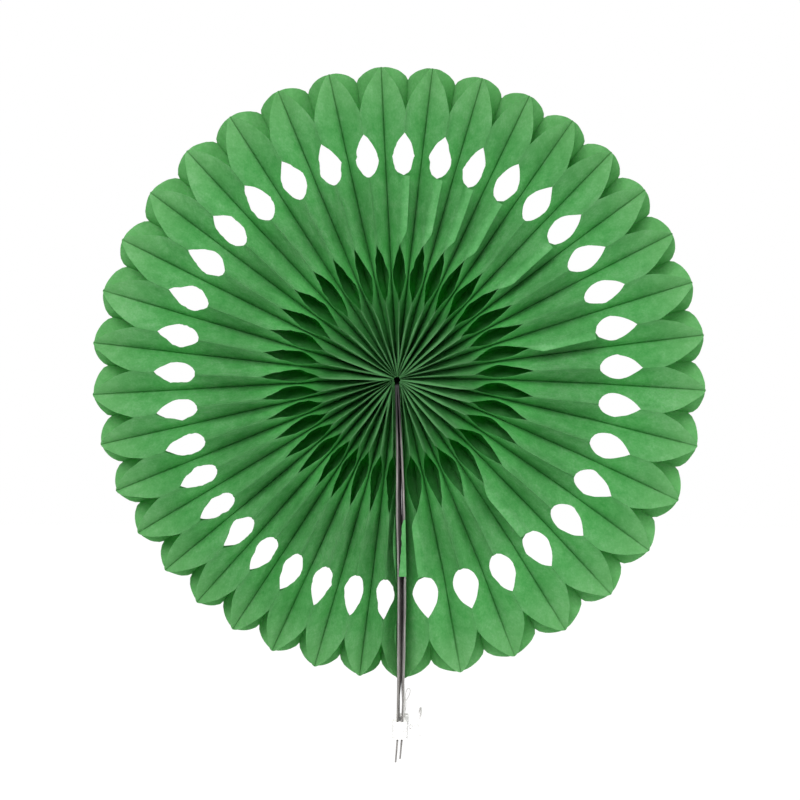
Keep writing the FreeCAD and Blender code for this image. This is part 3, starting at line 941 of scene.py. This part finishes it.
class Maker:
    """Builds the nodes of one material, or of the world."""

    def __init__(self, owner, out_kind="ShaderNodeOutputMaterial"):
        self.owner = owner
        owner.use_nodes = True
        self.tree = owner.node_tree
        self.tree.nodes.clear()
        self.out = self.tree.nodes.new(out_kind)

    def node(self, kind, settings, values, output=0):
        """A node from its type, its settings and its sockets' values or links."""
        node = self.tree.nodes.new(kind)
        for key, value in settings.items():
            if key == "stops":
                ramp = node.color_ramp
                for index, (place, colour) in enumerate(value):
                    stop = ramp.elements[index] if index < 2 else ramp.elements.new(place)
                    stop.position = place
                    stop.color = (*colour, 1)
            else:
                setattr(node, key, value)
        items = values.items() if isinstance(values, dict) else enumerate(values)
        for key, value in items:
            if isinstance(value, Socket):
                self.tree.links.new(value.output, node.inputs[key])
            else:
                if node.inputs[key].type == "RGBA":
                    value = (*value, 1)
                node.inputs[key].default_value = value
        return Socket(self, node.outputs[output])

    def mix(self, factor, first, second):
        """The first colour at 0 and the second at 1."""
        return self.node("ShaderNodeMix", {"data_type": "RGBA"},
                         {0: factor, 6: first, 7: second}, output=2)

    def stops(self, factor, stops):
        """A colour from its stops, as (place, colour)."""
        return self.node("ShaderNodeValToRGB", {"stops": stops}, {0: factor})

    def bump(self, strength, distance, height):
        return self.node("ShaderNodeBump", {},
                         {"Strength": strength, "Distance": distance, "Height": height})

    def place(self):
        """The point in the piece's own coordinates, in metres."""
        return self.node("ShaderNodeTexCoord", {}, {}, output=3)

    def noise(self, vector, scale, detail, roughness):
        return self.node("ShaderNodeTexNoise", {},
                         {"Vector": vector, "Scale": scale, "Detail": detail,
                          "Roughness": roughness})

    def mapped(self, vector, scale):
        return self.node("ShaderNodeMapping", {}, {"Vector": vector, "Scale": scale})

    def split(self, vector, index):
        """One of a vector's three numbers."""
        return self.node("ShaderNodeSeparateXYZ", {}, {0: vector}, output=index)

    def surface(self, shader):
        self.tree.links.new(shader.output, self.out.inputs["Surface"])
        return self.owner


def new_material(name):
    return Maker(bpy.data.materials.new(name))


# Colours. A leaf's own coordinates run from 0 at the spine to 1 at the tip, and from 0 at
# its front edge through 0.5 at its mid line to 1 at its back edge.
TISSUE_STOPS = [(0.39, (0.064, 0.320, 0.076)), (0.5, (0.118, 0.420, 0.130)),
                (0.61, (0.212, 0.525, 0.222))]
# painted shade in the valleys
VALLEY_SHADE_GREEN = (0.020, 0.300, 0.034)
# painted shade towards the spine and near the mid lines
INNER_SHADE_GREEN = (0.012, 0.380, 0.026)
# the glue's own darker green and painted shade in the crease of the mid lines
GLUE_AND_SHADE_GREEN = (0.005, 0.150, 0.012)
# painted highlight on the folded ridges, strongest towards the spine
RIDGE_HIGHLIGHT_GREEN = (0.20, 0.52, 0.21)
# painted highlight on the tips
TIP_HIGHLIGHT_GREEN = (0.34, 0.58, 0.29)
LIGHT_THROUGH = (0.06, 0.48, 0.08)
CARD_STOPS = [(0.3, (0.24, 0.225, 0.225)), (0.55, (0.34, 0.32, 0.32)),
              (0.8, (0.44, 0.42, 0.42))]
CUT_STOPS = [(0.3, (0.095, 0.087, 0.082)), (0.55, (0.19, 0.18, 0.172)),
             (0.8, (0.33, 0.32, 0.305))]
# painted light on the cards' tails
PAINTED_LIGHT_CARD = (0.68, 0.67, 0.64)
# painted shade near the spine
SPINE_SHADE_CARD = (0.011, 0.010, 0.011)
THREAD_WHITES = ((0.78, 0.77, 0.76), (0.92, 0.91, 0.90))
# painted shade on the loose strands
STRAND_SHADE_GREY = (0.42, 0.41, 0.39)


def tissue_material():
    make = new_material("dyed_tissue")
    leaf = make.node("ShaderNodeUVMap", {"uv_map": "leaf"}, {})
    place = make.place()
    along, across = make.split(leaf, 0), make.split(leaf, 1)
    fibre = make.noise(make.mapped(leaf, (26, 60, 1)), 5.0, 6.0, 0.65)
    fine = make.noise(place, 900.0, 4.0, 0.6)
    cloud = make.noise(place, 42.0, 3.0, 0.55)
    patch = make.noise(place, 230.0, 4.0, 0.6)
    mottle = fibre * 0.25 + fine * 0.27 + cloud * 0.2 + patch * 0.28
    colour = make.stops(mottle, TISSUE_STOPS)
    off_mid = (across - 0.5).absolute()
    # painted shade darkens the valleys and the leaves towards the spine, glue and painted
    # shade darken the glued mid lines, and painted highlights make the ridges and tips pale
    valley_shade = off_mid.ramp(0.05, 0.34, 1.0, 0.0) * along.ramp(0.55, 1.0, 1.0, 0.45)
    colour = make.mix(valley_shade * 0.2, colour, VALLEY_SHADE_GREEN)
    inner_shade = along.ramp(0.30, 0.62, 1.0, 0.0) * off_mid.ramp(0.22, 0.42, 1.0, 0.0)
    colour = make.mix(inner_shade * 0.3, colour, INNER_SHADE_GREEN)
    glue_and_shade = off_mid.ramp(0.034, 0.058, 1.0, 0.0)
    colour = make.mix(glue_and_shade * 0.85, colour, GLUE_AND_SHADE_GREEN)
    ridge = off_mid.ramp(0.38, 0.46) * along.ramp(0.22, 0.50, 1.0, 0.3)
    colour = make.mix(ridge * 0.6, colour, RIDGE_HIGHLIGHT_GREEN)
    tip = along.ramp(0.78, 1.0)
    colour = make.mix(tip * 0.25, colour, TIP_HIGHLIGHT_GREEN)
    bump = make.bump(0.45, 0.5 * MM, fibre * 0.35 + fine * 0.15 + cloud * 0.8 + patch * 0.35)
    rough = fine * 0.2 + 0.75
    paper = make.node("ShaderNodeBsdfPrincipled", {}, {
        "Base Color": colour, "Roughness": rough, "Normal": bump,
        "Specular IOR Level": 0.12})
    through = make.node("ShaderNodeBsdfTranslucent", {},
                        {"Color": LIGHT_THROUGH, "Normal": bump})
    # the share of light that goes through is least just outside the windows
    clear = along.ramp(0.29, 0.34, 0.46, 0.26) + along.ramp(0.42, 0.52, 0.0, 0.14)
    return make.surface(make.node("ShaderNodeMixShader", {}, {0: clear, 1: paper, 2: through}))


def card_material():
    make = new_material("grey_board")
    place = make.place()
    normal = make.node("ShaderNodeTexCoord", {}, {}, output=1)
    # the cut edges face forward and back, and show the board's layers
    cut = make.split(normal, 1).absolute().ramp(0.75, 0.97)
    layers = make.noise(make.mapped(place, (2600, 500, 120)), 1.0, 4.0, 0.6)
    fleck = make.noise(place, 700.0, 5.0, 0.65)
    height = make.split(place, 2)
    # painted light makes the faces paler on the tails, and painted shade makes everything
    # dark near the spine
    face = make.stops(fleck, CARD_STOPS)
    face = make.mix(height.ramp(-0.145, -0.115, 0.8, 0.0), face, PAINTED_LIGHT_CARD)
    colour = make.mix(cut, face, make.stops(layers, CUT_STOPS))
    spine_shade = height.ramp(-0.038, -0.016)
    colour = make.mix(spine_shade * 0.96, colour, SPINE_SHADE_CARD)
    bump = make.bump(0.4, 0.3 * MM, fleck * 0.5 + layers * 0.5)
    return make.surface(make.node("ShaderNodeBsdfPrincipled", {}, {
        "Base Color": colour, "Roughness": 0.85, "Normal": bump}))


def thread_material():
    make = new_material("white_cotton")
    place = make.place()
    twist = make.noise(place, 1100.0, 2.0, 0.5)
    colour = make.mix(twist, *THREAD_WHITES)
    # the loose strands above the winding are painted grey as shade
    strand_shade = make.split(place, 2).ramp(-0.1662, -0.1635)
    colour = make.mix(strand_shade, colour, STRAND_SHADE_GREY)
    bump = make.bump(0.5, 0.2 * MM, twist)
    return make.surface(make.node("ShaderNodeBsdfPrincipled", {}, {
        "Base Color": colour, "Roughness": 0.8, "Normal": bump}))


def dress(piece, material):
    piece.data.materials.clear()
    piece.data.materials.append(material)


for material, pieces in ((tissue_material(), tissue_pieces), (card_material(), boards),
                         (thread_material(), thread_pieces)):
    for piece in pieces:
        dress(piece, material)


# Stage: a pale floor far below the hanging fan, a white background, and soft light from
# the front, the side and the back.
WHITE = (1, 1, 1)
FLOOR_SIZE, FLOOR_HEIGHT = 6, -0.6
FLOOR_COLOUR, FLOOR_GLOW, FLOOR_SHARE = (0.9, 0.9, 0.9), 1.06, 0.95
ROOM_LIGHT, BACKGROUND = 0.44, 1.0
# each lamp's name, place, power in watts and size in metres
LAMPS = [
    ("front_lamp", (-0.3, -1.5, 0.85), 27.5, 0.8),
    ("side_lamp", (1.0, -1.2, 0.3), 8, 0.8),
    ("back_lamp", (-0.2, 1.5, 0.6), 28, 1.0),
]


def add_floor():
    deselect()
    bpy.ops.mesh.primitive_plane_add(size=FLOOR_SIZE, location=(0, 0, FLOOR_HEIGHT))
    floor = bpy.context.object
    floor.name = "floor"
    make = new_material("pale_floor")
    camera_ray = make.node("ShaderNodeLightPath", {}, {}, output=0)
    matt = make.node("ShaderNodeBsdfDiffuse", {}, {"Color": FLOOR_COLOUR})
    glow = make.node("ShaderNodeEmission", {}, {"Color": WHITE, "Strength": FLOOR_GLOW})
    dress(floor, make.surface(make.node("ShaderNodeMixShader", {}, {
        0: camera_ray * FLOOR_SHARE, 1: matt, 2: glow})))


def add_world():
    make = Maker(bpy.data.worlds.new("white_room"), "ShaderNodeOutputWorld")
    camera_ray = make.node("ShaderNodeLightPath", {}, {}, output=0)
    room = make.node("ShaderNodeBackground", {}, {"Color": WHITE, "Strength": ROOM_LIGHT})
    seen = make.node("ShaderNodeBackground", {}, {"Color": WHITE, "Strength": BACKGROUND})
    bpy.context.scene.world = make.surface(make.node("ShaderNodeMixShader", {}, {
        0: camera_ray, 1: room, 2: seen}))


def add_lamp(name, place, energy, size):
    data = bpy.data.lights.new(name, "AREA")
    data.energy = energy
    data.size = size
    lamp = new_object(name, data)
    lamp.location = place
    lamp.rotation_euler = (-Vector(place)).to_track_quat("-Z", "Y").to_euler()


add_floor()
add_world()
for lamp in LAMPS:
    add_lamp(*lamp)
bpy.context.scene.view_settings.view_transform = "Standard"
